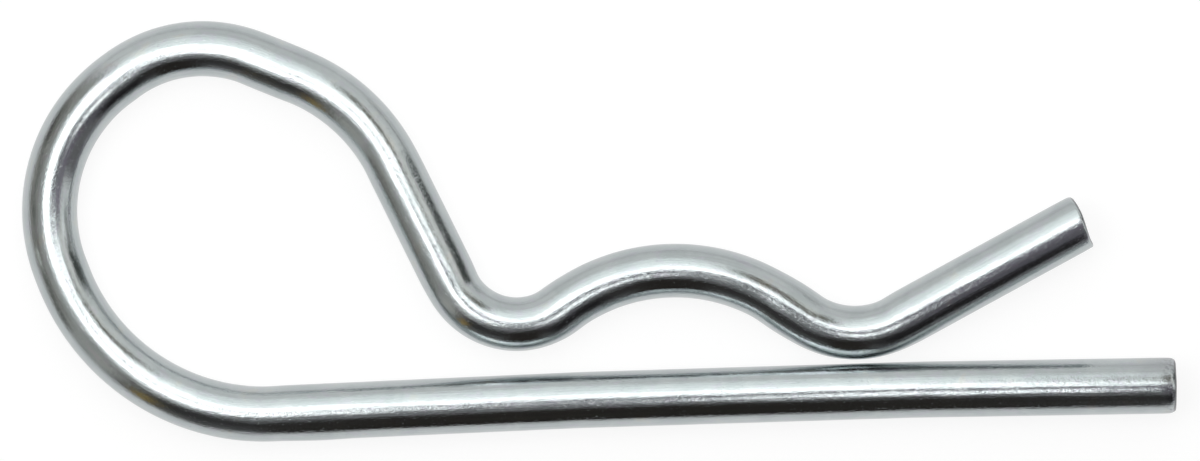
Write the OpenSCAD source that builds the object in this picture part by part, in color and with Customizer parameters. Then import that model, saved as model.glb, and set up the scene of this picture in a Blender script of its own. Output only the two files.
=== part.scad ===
// Hitch R-clip pin: one piece of bright spring wire with a straight leg, a round loop and a waved arm.
// The wire's axis lies in the plane Z = 0. The stretch of the leg that sits in the shaft's cross-hole runs
// along X through the origin, its free end towards +X. The arm is on the +Y side, with the middle of its
// saddle over the origin, so the shaft that the clip holds has its axis on Z.

/* [Wire] */
// Diameter of the wire
wire_d = 4.0; // [3.4:0.1:4.6]
// How much the wire's radius draws down in the bends of the loop
loop_draw = 0.03; // [0.03:0.01:0.1]
// How much the wire's radius draws down in the tighter bends of the arm
arm_draw = 0.08; // [0.04:0.01:0.12]
// Rolled-over edge on the sheared end of the leg
leg_bevel = 0.5; // [0.2:0.1:0.9]
// Rolled-over edge on the sheared end of the tip
tip_bevel = 0.4; // [0.2:0.1:0.9]

/* [Leg] */
// Length of the free stretch of the leg, which goes through the cross-hole first
free_run = 17.6; // [8:0.1:40]
// Set of the leg behind its free stretch, in degrees
first_set = 0.85; // [0.7:0.05:1.5]
// Length of the seat on the mouth's side of the saddle's middle
seat_front = 15.9; // [14.5:0.1:20]
// Length of the seat on the loop's side of the saddle's middle
seat_back = 5.6; // [4:0.1:9]
// Set of the leg before the loop, in degrees
second_set = 0.8; // [0.3:0.05:1.5]

/* [Loop] */
// Radius of the wire's axis at the heel, where the loop leaves the leg
heel_r = 15.2; // [12:0.1:17]
// Angle turned on the heel
heel_turn = 71.5; // [65:0.5:78]
// Radius of the wire's axis at the back of the loop
back_r = 11.5; // [9.5:0.1:14]
// Angle turned on the back
back_turn = 74.5; // [68:0.5:80]
// Radius of the wire's axis over the crown of the loop
crown_r = 9.6; // [7.5:0.1:12]
// Angle turned on the crown
crown_turn = 58.5; // [52:0.5:64]
// Straight shoulder between the crown and the neck's bend
shoulder_run = 3.4; // [1:0.1:6]
// Radius of the wire's axis where the shoulder turns down into the neck
neck_r = 12.9; // [10:0.1:15]
// Slope of the straight neck, in degrees below the leg
neck_slope = 65.4; // [60:0.2:70]

/* [Saddle and arm] */
// Diameter of the shaft that the clip grips
shaft_d = 15.9; // [14:0.1:17]
// How far the relaxed saddle stands inside the shaft's surface, so that it grips
bite = 0.9; // [0.4:0.05:1.6]
// From the loop-side valley to the middle of the saddle
valley_pitch = 10.8; // [10:0.05:12]
// Radius of the wire's axis in the loop-side valley
valley_r = 5.1; // [4.5:0.05:6]
// Clear gap between the loop-side valley and the leg
valley_gap = 1.65; // [1:0.05:2.2]
// Straight wire between the loop-side valley and the saddle
rise_run = 0.6; // [0.5:0.1:2]
// Radius of the wire's axis in the closing valley at the mouth
mouth_r = 6.45; // [5.5:0.05:7.5]
// Clear gap between the closing valley and the leg
mouth_gap = 0.25; // [0.15:0.05:1]
// Straight wire between the saddle and the closing valley
fall_run = 2.5; // [1:0.1:4]
// Slope of the flared tip, in degrees above the leg
tip_slope = 26.9; // [20:0.1:34]
// Straight length of the flared tip
tip_run = 14.8; // [6:0.1:22]

/* [Hidden] */
$fn = 64;

wire_r = wire_d / 2;
arm_r = wire_r - arm_draw;
// radius of the two slight sets in the leg
set_r = 37.5 * wire_d;
// shortest straight between two bends of the loop
land = 0.15 * wire_d;
// each bend starts and ends this far inside the straight wire on either side of it
lap = 0.015 * wire_d;

// direction and left-hand normal of a heading, and the way that a bend moves the wire's axis
function along(h) = [cos(h), sin(h)];
function left(h) = [-sin(h), cos(h)];
function bent(h, r, a) = sign(a) * r * (left(h) - left(h + a));

// leg: its headings, and the height of its axis under a point x of the arm
free_h = 180 - first_set;
heel_h = 180 + second_set;
free_to = [seat_front, 0] - bent(free_h, set_r, first_set);
leg_end = free_to - free_run * along(free_h);
loop_from = [-seat_back, 0] + bent(180, set_r, second_set);
function leg_y(x) = x > seat_front ? (x - free_to[0]) * tan(free_h) + free_to[1]
                  : x > -seat_back ? 0
                  : (x - loop_from[0]) * tan(heel_h) + loop_from[1];

// saddle and loop-side valley
saddle_y = shaft_d / 2 - bite + arm_r;
valley_y = leg_y(-valley_pitch) + wire_r + valley_gap + arm_r + valley_r;
valley_over = valley_y - saddle_y;
// largest saddle radius that leaves the straight rise between the two bends
saddle_r = (valley_pitch * valley_pitch + valley_over * valley_over
            - valley_r * valley_r - rise_run * rise_run) / (2 * (valley_r - valley_over));
rise = atan2(saddle_y - saddle_r - valley_y, valley_pitch) + atan2(valley_r + saddle_r, rise_run);

// closing valley
function mouth_y(x) = leg_y(x) + wire_r + mouth_gap + arm_r + mouth_r;
function mouth_x(y) = sqrt(pow(saddle_r + mouth_r, 2) + fall_run * fall_run
                           - pow(y - saddle_y + saddle_r, 2));
mouth_pitch = mouth_x(mouth_y(mouth_x(mouth_y(2 * mouth_r))));
fall = atan2(saddle_r + mouth_r, fall_run)
     - atan2(mouth_y(mouth_pitch) - saddle_y + saddle_r, mouth_pitch);

// loop: the headings after its bends, and the way from its first bend to the end of its last
back_h = heel_h - heel_turn;
crown_h = back_h - back_turn;
shoulder_h = crown_h - crown_turn;
neck_turn = shoulder_h + neck_slope;
loop_span = bent(heel_h, heel_r, -heel_turn) + land * along(back_h)
          + bent(back_h, back_r, -back_turn) + land * along(crown_h)
          + bent(crown_h, crown_r, -crown_turn) + shoulder_run * along(shoulder_h)
          + bent(shoulder_h, neck_r, -neck_turn);
// the leg's last run and the neck take up what is left between the leg's second set and the valley
left_over = [-valley_pitch, valley_y] - valley_r * left(-neck_slope) - loop_from - loop_span;
det = sin(-neck_slope - heel_h);
heel_run = (left_over[0] * sin(-neck_slope) - left_over[1] * cos(-neck_slope)) / det;
neck_run = (left_over[1] * cos(heel_h) - left_over[0] * sin(heel_h)) / det;

// the wire from the free end of the leg to the tip: straight run, radius of the bend after it, angle
// turned, left positive, and how much the wire draws down in the bend
moves = [
  [free_run, set_r, first_set, loop_draw],
  [seat_front + seat_back, set_r, second_set, loop_draw],
  [heel_run, heel_r, -heel_turn, loop_draw],
  [land, back_r, -back_turn, loop_draw],
  [land, crown_r, -crown_turn, loop_draw],
  [shoulder_run, neck_r, -neck_turn, loop_draw],
  [neck_run, valley_r, neck_slope + rise, arm_draw],
  [rise_run, saddle_r, -rise - fall, arm_draw],
  [fall_run, mouth_r, fall + tip_slope, arm_draw],
  [tip_run, 0, 0, 0],
];
// where each straight run starts, and its heading
function starts(i = 0, p = leg_end, h = free_h) =
  i == len(moves) ? []
  : concat([[p, h]], starts(i + 1, p + moves[i][0] * along(h) + bent(h, moves[i][1], moves[i][2]),
                            h + moves[i][2]));
places = starts();
last = len(moves) - 1;

// straight round wire along X, with a rolled-over edge on an end that was sheared
module bar(run, roll_at_start, roll_at_end) {
  edge = function(x, way, roll) roll == 0 ? [[wire_r, x]]
       : [[wire_r, x - way * roll], [wire_r - 0.3 * roll, x - way * 0.3 * roll], [wire_r - roll, x]];
  low = edge(0, -1, roll_at_start);
  rotate([0, 90, 0]) rotate_extrude()
    polygon(concat([[0, 0]], [for (k = [len(low) - 1:-1:0]) low[k]], edge(run, 1, roll_at_end), [[0, run]]));
}

// one straight run
module straight(i)
  translate([places[i][0][0], places[i][0][1], 0]) rotate([0, 0, places[i][1]])
    bar(moves[i][0], i == 0 ? leg_bevel : 0, i == last ? tip_bevel : 0);

// the bend after a straight run, entered a little early and left a little late
module bend(i) {
  h = places[i][1];
  r = moves[i][1];
  a = moves[i][2];
  side = sign(a);
  extra = lap / r * 180 / PI;
  centre = places[i][0] + moves[i][0] * along(h) + side * r * left(h);
  translate([centre[0], centre[1], 0])
    rotate([0, 0, h - side * 90 - (side > 0 ? extra : abs(a) + extra)])
      rotate_extrude(angle = abs(a) + 2 * extra) translate([r, 0])
        circle(r = wire_r - moves[i][3]);
}

module clip_wire() color([0.72, 0.74, 0.75]) {
  for (i = [0:last]) straight(i);
  for (i = [0:last - 1]) bend(i);
}

clip_wire();
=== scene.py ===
import math

import bmesh
import bpy
import numpy as np
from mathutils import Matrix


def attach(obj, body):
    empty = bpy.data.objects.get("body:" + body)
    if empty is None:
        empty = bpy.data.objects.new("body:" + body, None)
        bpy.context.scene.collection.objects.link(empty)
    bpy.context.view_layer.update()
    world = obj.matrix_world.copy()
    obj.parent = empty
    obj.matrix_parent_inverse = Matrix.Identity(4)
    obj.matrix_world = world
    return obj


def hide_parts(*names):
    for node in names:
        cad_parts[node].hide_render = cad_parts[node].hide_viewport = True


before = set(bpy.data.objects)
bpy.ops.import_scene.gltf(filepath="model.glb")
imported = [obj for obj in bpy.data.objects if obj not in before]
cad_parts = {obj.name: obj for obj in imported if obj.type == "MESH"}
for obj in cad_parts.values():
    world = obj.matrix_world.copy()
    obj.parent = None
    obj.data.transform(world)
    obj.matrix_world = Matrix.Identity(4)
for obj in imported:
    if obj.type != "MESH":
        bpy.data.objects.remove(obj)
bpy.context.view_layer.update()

MM = 0.001


# The wire's path, with the sizes of the part's source, in mm and degrees
WIRE_R = 2.0
LOOP_DRAW, ARM_DRAW = 0.03, 0.08
FREE_RUN, FIRST_SET, SEAT_FRONT, SEAT_BACK, SECOND_SET = 17.6, 0.85, 15.9, 5.6, 0.8
HEEL_R, HEEL_TURN, BACK_R, BACK_TURN, CROWN_R, CROWN_TURN = 15.2, 71.5, 11.5, 74.5, 9.6, 58.5
SHOULDER_RUN, NECK_R, NECK_SLOPE = 3.4, 12.9, 65.4
SHAFT_D, BITE, VALLEY_PITCH, VALLEY_R, VALLEY_GAP, RISE_RUN = 15.9, 0.9, 10.8, 5.1, 1.65, 0.6
MOUTH_R, MOUTH_GAP, FALL_RUN, TIP_SLOPE, TIP_RUN = 6.45, 0.25, 2.5, 26.9, 14.8
SET_R, LAND = 150.0, 0.6


def sin(a):
    return math.sin(math.radians(a))


def cos(a):
    return math.cos(math.radians(a))


def tan(a):
    return math.tan(math.radians(a))


def atan2(y, x):
    return math.degrees(math.atan2(y, x))


def along(h):
    return np.array([cos(h), sin(h)])


def left(h):
    return np.array([-sin(h), cos(h)])


def bent(h, r, a):
    """The way that a bend moves the wire's axis."""
    return math.copysign(r, a) * (left(h) - left(h + a))


def wire_moves():
    """Where the leg starts, its heading, and each straight run with the bend that follows it."""
    arm_r = WIRE_R - ARM_DRAW
    free_h, heel_h = 180 - FIRST_SET, 180 + SECOND_SET
    free_to = np.array([SEAT_FRONT, 0]) - bent(free_h, SET_R, FIRST_SET)
    leg_end = free_to - FREE_RUN * along(free_h)
    loop_from = np.array([-SEAT_BACK, 0]) + bent(180, SET_R, SECOND_SET)

    def leg_y(x):
        if x > SEAT_FRONT:
            return (x - free_to[0]) * tan(free_h) + free_to[1]
        return 0.0 if x > -SEAT_BACK else (x - loop_from[0]) * tan(heel_h) + loop_from[1]

    saddle_y = SHAFT_D / 2 - BITE + arm_r
    valley_y = leg_y(-VALLEY_PITCH) + WIRE_R + VALLEY_GAP + arm_r + VALLEY_R
    over = valley_y - saddle_y
    saddle_r = (VALLEY_PITCH ** 2 + over ** 2 - VALLEY_R ** 2 - RISE_RUN ** 2) / (2 * (VALLEY_R - over))
    rise = atan2(saddle_y - saddle_r - valley_y, VALLEY_PITCH) + atan2(VALLEY_R + saddle_r, RISE_RUN)

    def mouth_y(x):
        return leg_y(x) + WIRE_R + MOUTH_GAP + arm_r + MOUTH_R

    def mouth_x(y):
        return math.sqrt((saddle_r + MOUTH_R) ** 2 + FALL_RUN ** 2 - (y - saddle_y + saddle_r) ** 2)

    pitch = mouth_x(mouth_y(mouth_x(mouth_y(2 * MOUTH_R))))
    fall = atan2(saddle_r + MOUTH_R, FALL_RUN) - atan2(mouth_y(pitch) - saddle_y + saddle_r, pitch)

    back_h = heel_h - HEEL_TURN
    crown_h = back_h - BACK_TURN
    shoulder_h = crown_h - CROWN_TURN
    neck_turn = shoulder_h + NECK_SLOPE
    span = (bent(heel_h, HEEL_R, -HEEL_TURN) + LAND * along(back_h)
            + bent(back_h, BACK_R, -BACK_TURN) + LAND * along(crown_h)
            + bent(crown_h, CROWN_R, -CROWN_TURN) + SHOULDER_RUN * along(shoulder_h)
            + bent(shoulder_h, NECK_R, -neck_turn))
    over_to = np.array([-VALLEY_PITCH, valley_y]) - VALLEY_R * left(-NECK_SLOPE) - loop_from - span
    det = sin(-NECK_SLOPE - heel_h)
    heel_run = (over_to[0] * sin(-NECK_SLOPE) - over_to[1] * cos(-NECK_SLOPE)) / det
    neck_run = (over_to[1] * cos(heel_h) - over_to[0] * sin(heel_h)) / det
    moves = [
        (FREE_RUN, SET_R, FIRST_SET, 0), (SEAT_FRONT + SEAT_BACK, SET_R, SECOND_SET, 0),
        (heel_run, HEEL_R, -HEEL_TURN, LOOP_DRAW), (LAND, BACK_R, -BACK_TURN, LOOP_DRAW),
        (LAND, CROWN_R, -CROWN_TURN, LOOP_DRAW), (SHOULDER_RUN, NECK_R, -neck_turn, LOOP_DRAW),
        (neck_run, VALLEY_R, NECK_SLOPE + rise, ARM_DRAW), (RISE_RUN, saddle_r, -rise - fall, ARM_DRAW),
        (FALL_RUN, MOUTH_R, fall + TIP_SLOPE, ARM_DRAW), (TIP_RUN, 0, 0, 0),
    ]
    return leg_end, free_h, moves


def walk(step):
    """Points along the wire's axis: distance from the leg's end, place, heading, and the bend's draw."""
    p, h, moves = wire_moves()
    s, rows = 0.0, []
    for run, r, a, draw in moves:
        n = max(1, round(run / step))
        for k in range(n):
            t = run * k / n
            rows.append((s + t, *(p + t * along(h)), h, 0.0))
        p, s = p + run * along(h), s + run
        if a:
            arc = abs(math.radians(a)) * r
            n = max(2, round(arc / step))
            for k in range(n):
                place = p + bent(h, r, a * k / n) if k else p
                rows.append((s + arc * k / n, *place, h + a * k / n, draw))
            p, h, s = p + bent(h, r, a), h + a, s + arc
    rows.append((s, *p, h, 0.0))
    return np.array(rows)


def ease(t):
    t = np.clip(t, 0, 1)
    return t * t * (3 - 2 * t)


# The wire's surface. Angles round it are 0 on the left of travel, 90 on top.
SIDES = 72
RING = 0.26            # from one ring of the surface to the next, in mm
BLEND = 1.7            # the ends' own shape fades out this far inside them, in mm
NARROWING = 1.3        # and what their radius loses fades out this far inside them
FACE_RINGS, ROLL_RINGS, BLEND_RINGS = 12, 8, 7
DRAW_EASE = 3.0        # a bend's draw comes on and goes off over this length, in mm
DRAW_STEPS = 4000      # points along the wire at which that is worked out
DRAW_ACROSS = 0.3      # share of the draw that shows out of the wire's plane
WAVE_SEED = 11
# the drawn wire's unevenness: depth in mm, number of waves, their slowest and fastest rate in radians a mm,
# and the most turns that one winds round the wire
WAVES = [(0.006, 12, 0.25, 1.3, 4), (0.0016, 10, 2.0, 5.0, 9)]
THETA = np.linspace(0, 2 * math.pi, SIDES, endpoint=False)
# marks left by the forming tools and by handling: distance along the wire, angle round it, length, width
# and depth in mm, standing proud where the depth is negative
MARKS = [
    (60.7, 4, 2.9, 1.7, -0.045), (63.6, 8, 1.6, 1.5, 0.02),
    (65.6, 80, 0.26, 0.26, 0.05), (65.6, 80, 0.62, 0.62, -0.014),
    (66.6, 62, 0.4, 0.3, 0.012), (67.2, 58, 0.5, 0.2, -0.008),
    (133.1, 52, 0.5, 0.5, 0.014), (133.9, 46, 0.4, 0.6, -0.01),
    (140.6, 88, 0.5, 0.6, 0.006), (146.3, 62, 0.16, 1.0, 0.006), (149.1, 60, 0.2, 1.2, 0.008),
    (153.3, 36, 0.16, 0.8, 0.005), (158.9, 47, 0.4, 0.7, 0.014), (35.7, 66, 0.22, 0.22, 0.01),
]


def waviness(s, theta, rng, count, slow, fast, turns):
    """Smooth unevenness of the drawn wire: a sum of long waves that wind slowly round it."""
    total = 0
    for _ in range(count):
        rate, wind = rng.uniform(slow, fast), rng.integers(0, turns + 1) * rng.choice((-1, 1))
        total = total + rng.uniform(0.4, 1) * np.sin(rate * s + wind * theta + rng.uniform(0, 2 * math.pi))
    return total / count


def leg_face(left_mm, up_mm):
    """How far the leg's sheared face stands behind its crown."""
    clear, crown, edge_r = 0.012, 0.10, 1.72
    ripple = 0.010 * np.sin(2.3 * left_mm + 3.1 * up_mm)
    return clear + crown * (np.hypot(left_mm, up_mm) / edge_r) ** 1.1 + ripple


def tip_face(left_mm, up_mm):
    """The tip's face runs back towards its lower side, where the metal broke away."""
    slope = 0.33 * ease((left_mm + 1.6) / 2.4)
    worn_corner = 0.12 * np.maximum(left_mm - 1, 0) ** 2
    ahead = slope - 0.06 - worn_corner
    crowned = 0.05 * (up_mm / WIRE_R) ** 2
    ripple = 0.01 * np.sin(3.7 * up_mm + 1.3 * left_mm)
    return -ahead + crowned + ripple


# how the two sheared ends roll over: radially, and along the wire on its left and right side, in mm, and
# the share of its radius that the wire loses towards them
LEG_END = {"face": leg_face, "roll": 0.28, "long": (0.48, 0.38), "draw": 0.028, "inward": 1}
TIP_END = {"face": tip_face, "roll": 0.24, "long": (0.34, 0.16), "draw": 0.012, "inward": -1}


def end_rings(spec, skin_r, skin_z):
    """Rings of an end from the middle of its face outwards: set-back, radii and how sheared it is."""
    rings = []

    def add(back, share, cut):
        narrow = share * (1 - spec["draw"] * np.maximum(0, 1 - back / NARROWING) ** 2)
        rings.append((back, narrow * skin_r, narrow * skin_z, cut))

    edge = 1 - spec["roll"] / WIRE_R
    side = 0.5 + 0.5 * np.cos(THETA)
    uneven = 0.03 * np.sin(3 * THETA + 0.6)
    roll_long = spec["long"][0] * side + spec["long"][1] * (1 - side) + uneven

    def face(f):
        return spec["face"](f * skin_r * np.cos(THETA), f * skin_z * np.sin(THETA))

    for f in np.linspace(0.05, edge, FACE_RINGS):
        add(face(f), f, 1.0)
    for q in np.linspace(0, math.pi / 2, ROLL_RINGS + 1)[1:]:
        f = edge + (1 - edge) * math.sin(q)
        add(face(edge) + roll_long * (1 - math.cos(q)), f, max(0, 1 - q))
    start = rings[-1][0]
    for k in range(1, BLEND_RINGS + 1):
        add(start + (BLEND - start) * k / BLEND_RINGS, 1.0, 0.0)
    return rings


def add_bake_map(mesh, count):
    """Lays the skin out for baking: strips along the wire in a grid, each opened along the same line."""
    columns, rows, gutter = 3, 4, 0.012
    strip = math.ceil((count + 1) / (columns * rows))
    body = (count - 1) * SIDES
    spots = mesh.uv_layers.new(name="OFBake").data
    for face in mesh.polygons:
        if face.index < body:
            band, side = face.index // SIDES + 1, face.index % SIDES
        else:
            band, side = (face.index - body) // SIDES * count, (face.index - body) % SIDES
        row, column = divmod(band // strip, columns)
        for loop in face.loop_indices:
            vertex = mesh.loops[loop].vertex_index
            if vertex < count * SIDES:
                ring, turn = vertex // SIDES + 1, vertex % SIDES
                turn += SIDES if side == SIDES - 1 and turn == 0 else 0
            else:
                ring, turn = (vertex - count * SIDES) * (count + 1), side + 0.5
            across = gutter + (1 - 2 * gutter) * (ring - band // strip * strip) / strip
            up = gutter + (1 - 2 * gutter) * turn / SIDES
            spots[loop].uv = ((column + across) / columns, (row + up) / rows)


def wire_mesh():
    rows = walk(RING)
    length = rows[-1, 0]
    fine = np.linspace(0, length, DRAW_STEPS)
    kernel = np.hanning(int(DRAW_STEPS * DRAW_EASE / length))
    eased = np.convolve(np.interp(fine, rows[:, 0], rows[:, 4]), kernel / kernel.sum(), mode="same")

    def skin(s):
        """Radii in the wire's plane and out of it at a distance along the wire."""
        rng = np.random.default_rng(WAVE_SEED)
        low = 0
        for depth, *waves in WAVES:
            low = low + depth * (1 + waviness(s, THETA, rng, *waves))
        for at, angle, long, wide, deep in MARKS:
            if abs(s - at) < 2 * long:
                apart = np.radians((np.degrees(THETA) - angle + 180) % 360 - 180) * WIRE_R
                low = low + deep * np.exp(-((s - at) / (0.5 * long)) ** 2 - (apart / (0.5 * wide)) ** 2)
        draw = np.interp(s, fine, eased)
        return WIRE_R - draw - low, WIRE_R - DRAW_ACROSS * draw - low

    verts, lie, shear = [], [], []

    def add(place, h, slide, along_s, radius, height, cut):
        side, up = radius * np.cos(THETA), height * np.sin(THETA)
        xy = place[:, None] + np.outer(along(h), slide) + np.outer(left(h), side)
        verts.append(np.stack([xy[0], xy[1], up], 1))
        lie.append(np.stack([np.broadcast_to(along_s, up.shape), side, up], 1))
        shear.append(np.full(SIDES, cut))

    def add_end(spec, row, order):
        s, x, y, h, _ = row
        for back, radius, height, cut in end_rings(spec, *skin(s))[::order]:
            slide = spec["inward"] * back
            add(np.array([x, y]), h, slide, s + slide, radius, height, cut)

    add_end(LEG_END, rows[0], 1)
    inner = BLEND + 0.1
    for s, x, y, h, _ in rows:
        if inner < s < length - inner:
            add(np.array([x, y]), h, np.zeros(SIDES), s, *skin(s), 0.0)
    add_end(TIP_END, rows[-1], -1)

    count = len(verts)
    ring = np.arange(SIDES)
    following = (ring + 1) % SIDES
    faces = []
    for i in range(count - 1):
        a, b = i * SIDES, (i + 1) * SIDES
        faces += np.stack([a + ring, a + following, b + following, b + ring], 1).tolist()
    for i, order in ((0, -1), (count - 1, 1)):
        faces += [(i * SIDES + a, i * SIDES + b, count * SIDES + (i > 0))[::order]
                  for a, b in zip(ring.tolist(), following.tolist())]
    for data in (verts, lie, shear):
        data.append(np.stack([data[0].mean(0), data[-1].mean(0)]))
    mesh = bpy.data.meshes.new("zinc_wire")
    mesh.from_pydata((np.concatenate(verts) * MM).tolist(), [], faces)
    bm = bmesh.new()
    bm.from_mesh(mesh)
    bmesh.ops.recalc_face_normals(bm, faces=bm.faces)
    bm.to_mesh(mesh)
    bm.free()
    mesh.shade_smooth()
    add_bake_map(mesh, count)
    mesh.attributes.new("lie", "FLOAT_VECTOR", "POINT").data.foreach_set(
        "vector", np.concatenate(lie).astype(np.float32).ravel())
    mesh.attributes.new("shear", "FLOAT", "POINT").data.foreach_set(
        "value", np.concatenate(shear).astype(np.float32))
    return mesh


class Graph:
    """Short names for the nodes of one material or world."""

    def __init__(self, tree):
        self.tree = tree
        tree.nodes.clear()

    def node(self, kind, inputs=(), **settings):
        n = self.tree.nodes.new("ShaderNode" + kind)
        for name, value in settings.items():
            setattr(n, name, value)
        for key, value in dict(inputs).items():
            if isinstance(value, bpy.types.NodeSocket):
                self.tree.links.new(value, n.inputs[key])
            else:
                n.inputs[key].default_value = value
        return n

    def math(self, operation, *values):
        n = self.node("Math", operation=operation)
        for socket, value in zip(n.inputs, values):
            if isinstance(value, bpy.types.NodeSocket):
                self.tree.links.new(value, socket)
            else:
                socket.default_value = value
        return n.outputs[0]

    def weighted(self, *terms):
        """The sum of values, each times its weight."""
        total = None
        for value, weight in terms:
            part = self.math("MULTIPLY", value, weight)
            total = part if total is None else self.math("ADD", total, part)
        return total

    def ramp(self, value, low, high, to_low=0.0, to_high=1.0):
        """value from low..high onto to_low..to_high, held outside."""
        n = self.node("MapRange", {0: value, 1: low, 2: high, 3: to_low, 4: to_high},
                      interpolation_type="SMOOTHSTEP")
        return n.outputs[0]

    def mix(self, factor, a, b):
        n = self.node("Mix", data_type="RGBA")
        for socket, value in ((n.inputs[0], factor), (n.inputs[6], a), (n.inputs[7], b)):
            if isinstance(value, bpy.types.NodeSocket):
                self.tree.links.new(value, socket)
            else:
                socket.default_value = value if socket is n.inputs[0] else (*value, 1)
        return n.outputs[2]

    def noise(self, vector, scale, detail, rough, distortion=0.0, stretch=None):
        if stretch:
            vector = self.node("VectorMath", {0: vector, 1: stretch}, operation="MULTIPLY").outputs[0]
        n = self.node("TexNoise", {"Vector": vector, "Scale": scale, "Detail": detail, "Roughness": rough,
                                   "Distortion": distortion})
        return n.outputs["Fac"]


def zinc_material():
    """Bright zinc plate over drawn spring wire. The texture's coordinate is millimetres along the wire and
    the place in its section, so the draw lines follow every bend."""
    mat = bpy.data.materials.new("zinc_plated_wire")
    mat.use_nodes = True
    g = Graph(mat.node_tree)
    lie = g.node("Attribute", attribute_name="lie").outputs["Vector"]
    cut = g.node("Attribute", attribute_name="shear").outputs["Fac"]
    where = g.node("SeparateXYZ", {0: lie}).outputs

    draw_lines = g.noise(lie, 1.0, 3, 0.6, 0.0, (0.13, 9.0, 9.0))
    streaks = g.noise(lie, 1.0, 4, 0.7, 0.0, (0.16, 8.0, 8.0))
    dashes = g.noise(lie, 1.0, 3, 0.65, 0.3, (3.2, 7.5, 7.5))
    specks = g.ramp(g.noise(lie, 4.5, 1, 0.5), 0.68, 0.76)
    grain = g.noise(lie, 14.0, 3, 0.6)
    swell = g.noise(lie, 1.0, 2, 0.5, 0.0, (0.4, 1.3, 1.3))
    cloud = g.noise(lie, 0.55, 3, 0.55, 0.4)
    stain = g.noise(lie, 1.0, 4, 0.65, 0.6, (0.9, 1.7, 1.7))
    # places where the plate is scuffed and matt: the leg's end, and thin patches along the wire
    to_leg_end = g.ramp(where[0], 0.6, 4.2, 1.0, 0.0)
    upper = g.ramp(where[1], -1.7, 0.3, 1.0, 0.0)
    dull_end = g.math("MULTIPLY", to_leg_end, upper)
    scuff = g.ramp(stain, 0.62, 0.74)
    rub = g.ramp(g.noise(lie, 1.0, 5, 0.75, 0.0, (1.1, 16.0, 16.0)), 0.66, 0.72)

    dirt = g.noise(lie, 5.0, 4, 0.7)
    grime = g.math("MULTIPLY", g.ramp(dirt, 0.42, 0.62), cut)
    soot = g.math("MULTIPLY", g.ramp(where[0], 0.35, 1.5, 1.0, 0.0), g.ramp(dirt, 0.48, 0.66))
    rim = g.math("MULTIPLY", g.ramp(cut, 0.02, 0.35), g.ramp(cut, 0.98, 0.6))
    tear = g.noise(lie, 1.0, 4, 0.6, 0.3, (3.0, 2.0, 9.0))

    # blue-white zinc, and over it: where, how strongly, in which colour
    colour = g.mix(g.ramp(cloud, 0.3, 0.7), (0.485, 0.53, 0.535), (0.535, 0.575, 0.58))
    violet_bloom, straw_bloom = g.ramp(stain, 0.5, 0.66), g.ramp(cloud, 0.62, 0.72)
    layers = [
        (violet_bloom, 0.45, (0.53, 0.52, 0.58)),
        (straw_bloom, 0.3, (0.575, 0.565, 0.50)),
        (g.ramp(streaks, 0.5, 0.68), 0.25, (0.40, 0.405, 0.42)),
        (rub, 0.35, (0.34, 0.36, 0.37)),
        (dull_end, 0.45, (0.40, 0.41, 0.43)),
        (cut, 0.7, (0.45, 0.46, 0.46)),
        (rim, 0.7, (0.17, 0.17, 0.175)),
        (grime, 0.8, (0.10, 0.10, 0.10)),
        (soot, 0.5, (0.20, 0.19, 0.19)),
    ]
    for place, strength, tint in layers:
        colour = g.mix(g.math("MULTIPLY", place, strength), colour, tint)

    polish = g.ramp(draw_lines, 0.3, 0.75, 0.03, 0.065)
    rough = g.weighted((polish, 1.0), (scuff, 0.08), (rub, 0.12), (dull_end, 0.18), (cut, 0.22))
    relief = 0.0000030                 # metres to a unit of height
    height = g.weighted((draw_lines, 1.9), (dashes, 3.3), (grain, 1.1), (swell, 5.0), (rub, -0.8),
                        (specks, -1.6), (g.math("MULTIPLY", tear, cut), 14.0))
    bump = g.node("Bump", {"Height": height, "Strength": 1.0, "Distance": relief})

    shader = g.node("BsdfPrincipled", {"Base Color": colour, "Metallic": 1.0, "Roughness": rough,
                                       "Normal": bump.outputs[0]})
    out = g.node("OutputMaterial")
    mat.node_tree.links.new(shader.outputs[0], out.inputs[0])
    return mat


def floor_material():
    """Pale floor. What the camera and the metal see of it is nearly white, and a part of it is lit, so that
    it keeps the object's soft shadow. In the metal it falls off with distance, as under a soft lamp."""
    white, lit_share, bounce = 0.86, 0.20, 0.85
    mat = bpy.data.materials.new("pale_floor")
    mat.use_nodes = True
    g = Graph(mat.node_tree)
    path = g.node("LightPath").outputs
    direct = g.math("MAXIMUM", path["Is Camera Ray"], path["Is Transmission Ray"])
    near = g.ramp(path["Ray Length"], 0.030, 0.004, 0.48, 0.72)
    glow = g.math("ADD", g.math("MULTIPLY", direct, white), g.math("MULTIPLY", path["Is Glossy Ray"], near))
    seen = g.math("MAXIMUM", direct, path["Is Glossy Ray"])
    lit = g.node("BsdfDiffuse", {"Color": (lit_share, lit_share, lit_share, 1)})
    glow = g.node("Emission", {"Color": (1, 1, 1, 1), "Strength": glow})
    plain = g.node("BsdfDiffuse", {"Color": (bounce, bounce, bounce, 1)})
    both = g.node("AddShader", {0: lit.outputs[0], 1: glow.outputs[0]})
    mixed = g.node("MixShader", {0: seen, 1: plain.outputs[0], 2: both.outputs[0]})
    out = g.node("OutputMaterial")
    mat.node_tree.links.new(mixed.outputs[0], out.inputs[0])
    return mat


# The photograph's view: straight down on the wire's plane
VIEW_CENTRE = (-4.842, 11.972)     # the point in the middle of the picture, in mm
VIEW_WIDTH = 85.106                # what the picture takes in across, in mm
VIEW_HEIGHT = 900.0                # camera above the wire's plane, in mm
VIEW_ROLL = -1.775                 # degrees
SENSOR = 36

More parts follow.
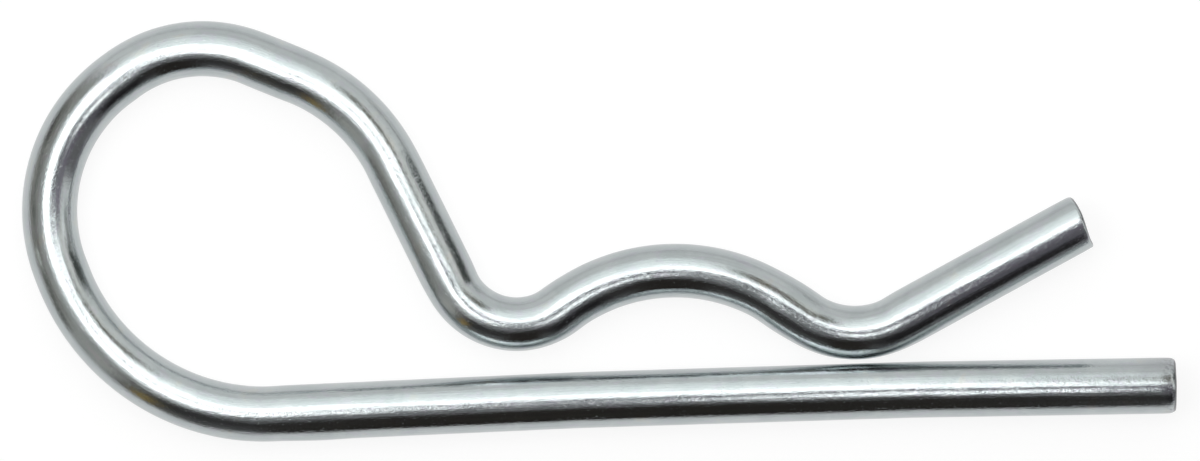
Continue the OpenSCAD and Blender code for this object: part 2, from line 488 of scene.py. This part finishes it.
# The studio, on the plane in which a polished ball on the floor shows it from above: x to the right, y up,
# 0.707 from the middle is the horizon. Brightness 1 is the white of the room outside it.
STUDIO_R = 215.0                   # how far off the studio's lights are, in mm
WALL = (0.80, 0.81, 0.80)
STUDIO = [
    # kind, brightness, middle or angles, size or distances, turn in degrees, softness
    ("round", (1.20, 1.24, 1.23), (-0.06, 0.22), (0.27, 0.26), 0, 0.30),
    ("box", (1.48, 1.53, 1.52), (-0.06, 0.16), (0.19, 0.15), 10, 0.30),
    ("box", (3.0, 3.0, 3.0), (-0.18, 0.060), (0.120, 0.13), 12, 0.08),
    ("box", (2.3, 2.32, 2.32), (0.010, 0.095), (0.122, 0.085), 0, 0.13),
    ("box", (2.8, 2.8, 2.8), (-0.111, -0.07), (0.090, 0.065), 40, 0.10),
    # left side of the room
    ("sector", (0.43, 0.43, 0.415), (135, 226), (0.36, 0.80), 0, (5, 0.05)),
    ("sector", (0.40, 0.395, 0.385), (205, 226), (0.31, 0.47), 0, (4, 0.03)),
    ("sector", (0.30, 0.29, 0.27), (140, 206), (0.49, 0.80), 0, (5, 0.05)),
    ("round", (0.13, 0.13, 0.12), (-0.615, 0.335), (0.06, 0.13), 25, 0.35),
    ("round", (0.19, 0.19, 0.175), (-0.57, 0.03), (0.035, 0.12), 0, 0.35),
    ("round", (0.20, 0.20, 0.185), (-0.60, -0.20), (0.045, 0.11), -10, 0.35),
    ("round", (0.80, 0.82, 0.77), (-0.605, -0.11), (0.03, 0.025), 0, 0.4),
    ("sector", (0.46, 0.45, 0.42), (211, 222), (0.45, 0.60), 0, (3, 0.04)),
    # dark side, where the camera is worked from
    ("sector", (0.27, 0.27, 0.275), (236, 312), (0.15, 0.80), 0, (8, 0.06)),
    ("sector", (0.16, 0.155, 0.145), (222, 250), (0.36, 0.80), 0, (4, 0.03)),
    ("round", (0.34, 0.25, 0.10), (-0.375, -0.445), (0.11, 0.028), 45, 0.3),
    ("sector", (0.050, 0.048, 0.048), (231, 306), (0.32, 0.60), 0, (4, 0.08)),
    ("sector", (0.10, 0.10, 0.10), (240, 300), (0.57, 0.66), 0, (3, 0.03)),
    ("sector", (0.030, 0.027, 0.024), (260, 283), (0.28, 0.85), 0, (2, 0.09)),
    ("sector", (0.225, 0.20, 0.235), (307, 344), (0.06, 0.70), 0, (4, 0.02)),
    ("sector", (0.18, 0.175, 0.18), (308, 342), (0.31, 0.66), 0, (4, 0.03)),
    ("sector", (0.135, 0.125, 0.145), (304, 318), (0.15, 0.50), 0, (4, 0.03)),
    ("sector", (0.022, 0.021, 0.022), (289, 312), (0.42, 0.63), 0, (4, 0.04)),
    ("sector", (0.27, 0.25, 0.28), (338, 365), (0.12, 0.335), 0, (4, 0.03)),
    # right side of the room
    ("sector", (0.93, 0.92, 0.885), (8, 52), (0.25, 0.44), 0, (6, 0.04)),
    ("round", (0.17, 0.155, 0.13), (0.172, 0.215), (0.056, 0.140), -8, 0.25),
    ("box", (0.08, 0.085, 0.08), (0.52, 0.225), (0.14, 0.062), 33, 0.25),
    ("box", (0.36, 0.37, 0.365), (0.50, 0.42), (0.13, 0.025), -50, 0.3),
    ("round", (1.15, 1.15, 1.13), (0.44, 0.05), (0.04, 0.06), 0, 0.3),
    ("box", (0.27, 0.28, 0.27), (0.58, 0.08), (0.06, 0.11), 0, 0.3),
    # the camera above on its arm, and a small light beside it
    ("box", (0.09, 0.085, 0.10), (0.008, -0.014), (0.090, 0.032), -6, 0.2),
    ("box", (0.16, 0.15, 0.165), (-0.002, -0.12), (0.030, 0.10), 0, 0.25),
    ("round", (3.4, 3.4, 3.4), (0.064, -0.142), (0.031, 0.050), 12, 0.2),
]


def shape_mask(g, flat, away, angle, shape):
    """1 inside a shape of the studio and 0 outside it, with a soft edge."""
    kind, _, where, size, turn, soft = shape
    if kind == "sector":
        mid, half = math.radians(sum(where) / 2), math.radians(where[1] - where[0]) / 2
        off = g.math("ABSOLUTE", g.math("WRAP", g.math("SUBTRACT", angle, mid), math.pi, -math.pi))
        edge = math.radians(soft[0])
        centre, reach = sum(size) / 2, (size[1] - size[0]) / 2
        out = g.math("ABSOLUTE", g.math("SUBTRACT", away, centre))
        return g.math("MULTIPLY", g.ramp(off, half + edge, half - edge),
                      g.ramp(out, reach + soft[1], reach - soft[1]))
    own = g.node("Mapping", {"Vector": flat, "Location": (*where, 0), "Scale": (*size, 1),
                             "Rotation": (0, 0, math.radians(turn))}, vector_type="TEXTURE").outputs[0]
    if kind == "box":
        own = g.node("VectorMath", {0: own, 1: own}, operation="MULTIPLY").outputs[0]
    length = g.node("VectorMath", {0: own}, operation="LENGTH").outputs["Value"]
    if kind == "box":
        length = g.math("SQRT", length)
    return g.ramp(length, 1 + soft, 1 - soft)


def studio_material():
    """The studio's light by direction: the wall, with each shape laid over it in turn."""
    ripple_scale, ripple_reach, least_spread = 9.0, 0.035, 0.02
    mat = bpy.data.materials.new("studio_dome")
    mat.use_nodes = True
    g = Graph(mat.node_tree)
    place = g.node("TexCoord").outputs["Object"]
    to_dome = g.node("VectorMath", {0: place}, operation="NORMALIZE").outputs[0]
    d = g.node("SeparateXYZ", {0: to_dome}).outputs
    twice_rise = g.math("MULTIPLY", g.math("ADD", d[2], 1.0), 2.0)
    spread = g.math("SQRT", g.math("MAXIMUM", twice_rise, least_spread))
    u, v = g.math("DIVIDE", d[0], spread), g.math("DIVIDE", d[1], spread)
    flat = g.node("CombineXYZ", {0: u, 1: v, 2: 0.0}).outputs[0]
    ripple = g.node("TexNoise", {"Vector": flat, "Scale": ripple_scale, "Detail": 2.0})
    nudge = g.node("VectorMath", {0: ripple.outputs["Color"], 1: (0.5, 0.5, 0.5)}, operation="SUBTRACT")
    nudge = g.node("VectorMath", {0: nudge.outputs[0], "Scale": ripple_reach}, operation="SCALE")
    flat = g.node("VectorMath", {0: flat, 1: nudge.outputs[0]}, operation="ADD").outputs[0]
    part = g.node("SeparateXYZ", {0: flat}).outputs
    away = g.math("SQRT", g.math("ADD", g.math("MULTIPLY", part[0], part[0]),
                                 g.math("MULTIPLY", part[1], part[1])))
    angle = g.math("ARCTAN2", part[1], part[0])

    light = WALL
    for shape in STUDIO:
        light = g.mix(shape_mask(g, flat, away, angle, shape), light, shape[1])
    # the dark parts of the room are full of small things
    clutter = g.ramp(g.noise(flat, 20.0, 4, 0.7), 0.32, 0.68, 0.5, 1.55)
    dark = g.ramp(g.node("RGBToBW", {0: light}).outputs[0], 0.50, 0.25)
    busy = g.node("VectorMath", {0: light, "Scale": clutter}, operation="SCALE").outputs[0]
    light = g.mix(dark, light, busy)
    glow = g.node("Emission", {"Color": light, "Strength": 1.0})
    out = g.node("OutputMaterial")
    mat.node_tree.links.new(glow.outputs[0], out.inputs[0])
    mat.cycles.emission_sampling = "NONE"
    return mat


def studio():
    """A small dome with the studio's lights, which the camera looks through, in a white room."""
    world = bpy.data.worlds.new("white_room")
    bpy.context.scene.world = world
    world.use_nodes = True
    g = Graph(world.node_tree)
    background = g.node("Background", {"Color": (1, 1, 1, 1), "Strength": 1.0})
    out = g.node("OutputWorld")
    world.node_tree.links.new(background.outputs[0], out.inputs[0])
    world.cycles.sampling_method = "NONE"

    sides, levels = 96, 28
    foot, top = -math.asin(WIRE_R / STUDIO_R), 0.98 * math.pi / 2
    turn = np.linspace(0, 2 * math.pi, sides, endpoint=False)
    verts = []
    for rise in np.linspace(foot, top, levels):
        out, up = STUDIO_R * math.cos(rise), STUDIO_R * math.sin(rise)
        verts += [(out * math.cos(a) * MM, out * math.sin(a) * MM, up * MM) for a in turn]
    faces = []
    for low in range(0, (levels - 1) * sides, sides):
        high = low + sides
        for k in range(sides):
            after = (k + 1) % sides
            faces.append((low + k, low + after, high + after, high + k))
    faces.append([(levels - 1) * sides + k for k in range(sides)])
    mesh = bpy.data.meshes.new("studio_dome")
    mesh.from_pydata(verts, [], faces)
    mesh.materials.append(studio_material())
    dome = bpy.data.objects.new("studio_dome", mesh)
    dome.location = (VIEW_CENTRE[0] * MM, VIEW_CENTRE[1] * MM, 0)
    dome.visible_camera = False
    bpy.context.scene.collection.objects.link(dome)


def camera():
    data = bpy.data.cameras.new("view")
    data.sensor_width = SENSOR
    data.sensor_fit = "HORIZONTAL"
    data.lens = SENSOR * VIEW_HEIGHT / VIEW_WIDTH
    data.clip_start = 0.005
    cam = bpy.data.objects.new("view", data)
    cam.location = (VIEW_CENTRE[0] * MM, VIEW_CENTRE[1] * MM, VIEW_HEIGHT * MM)
    cam.rotation_euler = (0, 0, math.radians(VIEW_ROLL))
    bpy.context.scene.collection.objects.link(cam)
    bpy.context.scene.camera = cam


def floor():
    half, z = 3.0, -WIRE_R * MM        # in metres
    corners = [(-half, -half, z), (half, -half, z), (half, half, z), (-half, half, z)]
    mesh = bpy.data.meshes.new("floor")
    mesh.from_pydata(corners, [], [(0, 1, 2, 3)])
    mesh.materials.append(floor_material())
    piece = bpy.data.objects.new("floor", mesh)
    bpy.context.scene.collection.objects.link(piece)


camera()
studio()
floor()

wire = bpy.data.objects.new("zinc_wire", wire_mesh())
bpy.context.scene.collection.objects.link(wire)
wire.data.materials.append(zinc_material())
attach(wire, "root")
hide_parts("clip_wire")

scene = bpy.context.scene
scene.view_settings.view_transform = "Standard"
